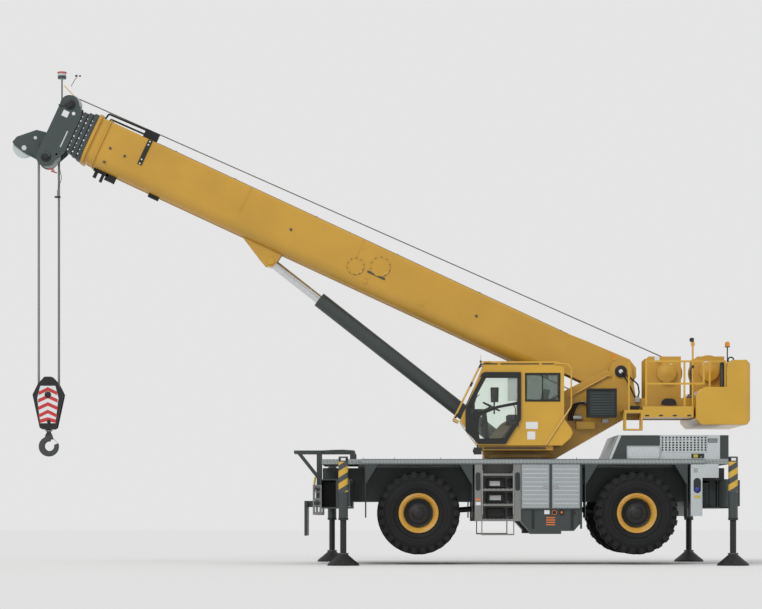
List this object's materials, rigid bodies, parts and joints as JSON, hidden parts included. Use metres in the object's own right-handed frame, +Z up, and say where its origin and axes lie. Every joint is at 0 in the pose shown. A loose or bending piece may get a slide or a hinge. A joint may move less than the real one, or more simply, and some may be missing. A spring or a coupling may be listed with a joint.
{
  "type": "mobile crane",
  "caption": "rough-terrain mobile crane on its outriggers, with a slewing upperworks, side cab, telescopic boom, lift cylinder, counterweight and a hook block on falls",
  "frame": {"origin": "middle of the bounding box's footprint, on the ground under the outrigger floats", "axes": "+Z up, -X the way the boom points and the carrier's front, -Y the cab's side"},
  "size_m": [14.5715, 5.41, 9.79],
  "materials": {
    "body_yellow": "satin",
    "rim_yellow": "satin",
    "chassis_grey": "satin",
    "deck_grey": "satin",
    "dark_steel": "satin",
    "bright_rod": "polished",
    "tyre_black": "matte",
    "glass": "gloss",
    "interior": "matte",
    "nylon": "satin",
    "rope": "satin",
    "hook_red": "satin"
  },
  "bodies": {
    "carrier": {"chassis_frame": "chassis_grey", "axle_beams": "chassis_grey", "deck": "deck_grey", "fenders": "chassis_grey", "outrigger_boxes": "chassis_grey", "steps": "deck_grey", "lockers": "deck_grey", "tanks": "chassis_grey", "rear_cabinets": "deck_grey", "tow_frame": "chassis_grey", "engine_hood": "deck_grey", "engine": "chassis_grey"},
    "upper": {"turntable": "body_yellow", "counterweight": "body_yellow", "winches": "body_yellow", "platform": "body_yellow", "oil_cooler": "dark_steel", "cab_shell": "body_yellow", "cab_glass": "glass", "cab_seat": "interior", "cab_controls": "interior"},
    "door": {"cab_door": "interior", "door_glass": "glass"},
    "foot_pin": {"boom_foot_pin": "dark_steel"},
    "boom": {"boom_base": "body_yellow", "hoist_line": "rope"},
    "section_2": {"boom_section_2": "chassis_grey"},
    "section_3": {"boom_section_3": "chassis_grey"},
    "section_4": {"boom_section_4": "chassis_grey"},
    "head": {"boom_head": "chassis_grey", "head_sheaves": "nylon"},
    "tackle": {"falls": "rope", "hook_block": "hook_red"},
    "hook": {"hook": "dark_steel"},
    "base_pin": {"lift_base_pin": "dark_steel"},
    "barrel": {"lift_barrel": "chassis_grey"},
    "sleeve": {"lift_sleeve": "dark_steel"},
    "rod": {"lift_rod": "bright_rod"},
    "knuckle_front_left": {"knuckle_front_left": "chassis_grey"},
    "wheel_front_left": {"rim_front_left": "rim_yellow", "tyre_front_left": "tyre_black"},
    "knuckle_front_right": {"knuckle_front_right": "chassis_grey"},
    "wheel_front_right": {"rim_front_right": "rim_yellow", "tyre_front_right": "tyre_black"},
    "knuckle_rear_left": {"knuckle_rear_left": "chassis_grey"},
    "wheel_rear_left": {"rim_rear_left": "rim_yellow", "tyre_rear_left": "tyre_black"},
    "knuckle_rear_right": {"knuckle_rear_right": "chassis_grey"},
    "wheel_rear_right": {"rim_rear_right": "rim_yellow", "tyre_rear_right": "tyre_black"},
    "beam_front_left": {"beam_front_left": "chassis_grey"},
    "jack_front_left": {"jack_front_left": "dark_steel"},
    "beam_front_right": {"beam_front_right": "chassis_grey"},
    "jack_front_right": {"jack_front_right": "dark_steel"},
    "beam_rear_left": {"beam_rear_left": "chassis_grey"},
    "jack_rear_left": {"jack_rear_left": "dark_steel"},
    "beam_rear_right": {"beam_rear_right": "chassis_grey"},
    "jack_rear_right": {"jack_rear_right": "dark_steel"}
  },
  "joints": [
    {"name": "slew", "type": "hinge", "parent": "carrier", "child": "upper", "pos_m": [2.86, 0, 2.1], "axis": [0, 0, 1], "continuous": true},
    {"name": "boom_raise", "type": "hinge", "parent": "upper", "child": "foot_pin", "pos_m": [4.844, 0, 3.818], "axis": [0, 1, 0], "range_deg": [0, 53]},
    {"name": "boom_lower", "type": "hinge", "parent": "foot_pin", "child": "boom", "pos_m": [4.844, 0, 3.818], "axis": [0, 1, 0], "range_deg": [-26, 0]},
    {"name": "extend_2", "type": "slide", "parent": "boom", "child": "section_2", "axis": [-0.9067, 0, 0.4217], "range_m": [0, 8.75]},
    {"name": "extend_3", "type": "slide", "parent": "section_2", "child": "section_3", "axis": [-0.9067, 0, 0.4217], "range_m": [0, 8.75]},
    {"name": "extend_4", "type": "slide", "parent": "section_3", "child": "section_4", "axis": [-0.9067, 0, 0.4217], "range_m": [0, 8.75]},
    {"name": "extend_5", "type": "slide", "parent": "section_4", "child": "head", "axis": [-0.9067, 0, 0.4217], "range_m": [0, 8.75]},
    {"name": "hook_swing", "type": "hinge", "parent": "head", "child": "tackle", "pos_m": [-6.55736, 0, 8.13849], "axis": [0, -1, 0], "range_deg": [-26, 53]},
    {"name": "hook_swivel", "type": "hinge", "parent": "tackle", "child": "hook", "pos_m": [-6.55736, 0, 2.668], "axis": [0, 0, 1], "continuous": true},
    {"name": "lift_swing_raise", "type": "hinge", "parent": "upper", "child": "base_pin", "pos_m": [2.524, 0, 2.398], "axis": [0, 1, 0], "range_deg": [0, 52]},
    {"name": "lift_swing_lower", "type": "hinge", "parent": "base_pin", "child": "barrel", "pos_m": [2.524, 0, 2.398], "axis": [0, 1, 0], "range_deg": [-34, 0]},
    {"name": "lift_extend", "type": "slide", "parent": "barrel", "child": "sleeve", "axis": [-0.7871, 0, 0.6169], "range_m": [0, 2.4]},
    {"name": "lift_retract", "type": "slide", "parent": "sleeve", "child": "rod", "axis": [-0.7871, 0, 0.6169], "range_m": [-1.06, 0]},
    {"name": "steer_front_left", "type": "hinge", "parent": "carrier", "child": "knuckle_front_left", "pos_m": [0.816, -0.93, 1.005], "axis": [0, 0, 1], "range_deg": [-25, 25]},
    {"name": "spin_front_left", "type": "hinge", "parent": "knuckle_front_left", "child": "wheel_front_left", "pos_m": [0.816, -1.201, 1.005], "axis": [0, 1, 0], "continuous": true},
    {"name": "steer_front_right", "type": "hinge", "parent": "carrier", "child": "knuckle_front_right", "pos_m": [0.816, 0.93, 1.005], "axis": [0, 0, 1], "range_deg": [-25, 25]},
    {"name": "spin_front_right", "type": "hinge", "parent": "knuckle_front_right", "child": "wheel_front_right", "pos_m": [0.816, 1.201, 1.005], "axis": [0, 1, 0], "continuous": true},
    {"name": "steer_rear_left", "type": "hinge", "parent": "carrier", "child": "knuckle_rear_left", "pos_m": [5.066, -0.93, 1.005], "axis": [0, 0, 1], "range_deg": [-25, 25]},
    {"name": "spin_rear_left", "type": "hinge", "parent": "knuckle_rear_left", "child": "wheel_rear_left", "pos_m": [5.066, -1.201, 1.005], "axis": [0, 1, 0], "continuous": true},
    {"name": "steer_rear_right", "type": "hinge", "parent": "carrier", "child": "knuckle_rear_right", "pos_m": [5.066, 0.93, 1.005], "axis": [0, 0, 1], "range_deg": [-25, 25]},
    {"name": "spin_rear_right", "type": "hinge", "parent": "knuckle_rear_right", "child": "wheel_rear_right", "pos_m": [5.066, 1.201, 1.005], "axis": [0, 1, 0], "continuous": true},
    {"name": "slide_beam_front_left", "type": "slide", "parent": "carrier", "child": "beam_front_left", "axis": [0, -1, 0], "range_m": [-1, 1]},
    {"name": "lift_jack_front_left", "type": "slide", "parent": "beam_front_left", "child": "jack_front_left", "axis": [0, 0, 1], "range_m": [-0.15, 0.62]},
    {"name": "slide_beam_front_right", "type": "slide", "parent": "carrier", "child": "beam_front_right", "axis": [0, 1, 0], "range_m": [-1, 1]},
    {"name": "lift_jack_front_right", "type": "slide", "parent": "beam_front_right", "child": "jack_front_right", "axis": [0, 0, 1], "range_m": [-0.15, 0.62]},
    {"name": "slide_beam_rear_left", "type": "slide", "parent": "carrier", "child": "beam_rear_left", "axis": [0, -1, 0], "range_m": [-1, 1]},
    {"name": "lift_jack_rear_left", "type": "slide", "parent": "beam_rear_left", "child": "jack_rear_left", "axis": [0, 0, 1], "range_m": [-0.15, 0.62]},
    {"name": "slide_beam_rear_right", "type": "slide", "parent": "carrier", "child": "beam_rear_right", "axis": [0, 1, 0], "range_m": [-1, 1]},
    {"name": "lift_jack_rear_right", "type": "slide", "parent": "beam_rear_right", "child": "jack_rear_right", "axis": [0, 0, 1], "range_m": [-0.15, 0.62]},
    {"name": "cab_door_slide", "type": "slide", "parent": "upper", "child": "door", "axis": [1, 0, 0], "range_m": [0, 0.7]}
  ],
  "couplings": [
    {"joint": "extend_3", "follows": "extend_2", "ratio": 1},
    {"joint": "extend_4", "follows": "extend_2", "ratio": 1},
    {"joint": "extend_5", "follows": "extend_2", "ratio": 1},
    {"joint": "lift_swing_raise", "follows": "boom_raise", "ratio": 0.972},
    {"joint": "lift_swing_lower", "follows": "boom_lower", "ratio": 1.29},
    {"joint": "lift_extend", "follows": "boom_raise", "m_per_rad": 2.5554},
    {"joint": "lift_retract", "follows": "boom_lower", "m_per_rad": 2.2976},
    {"joint": "steer_front_right", "follows": "steer_front_left", "ratio": 1},
    {"joint": "steer_rear_right", "follows": "steer_rear_left", "ratio": 1}
  ]
}
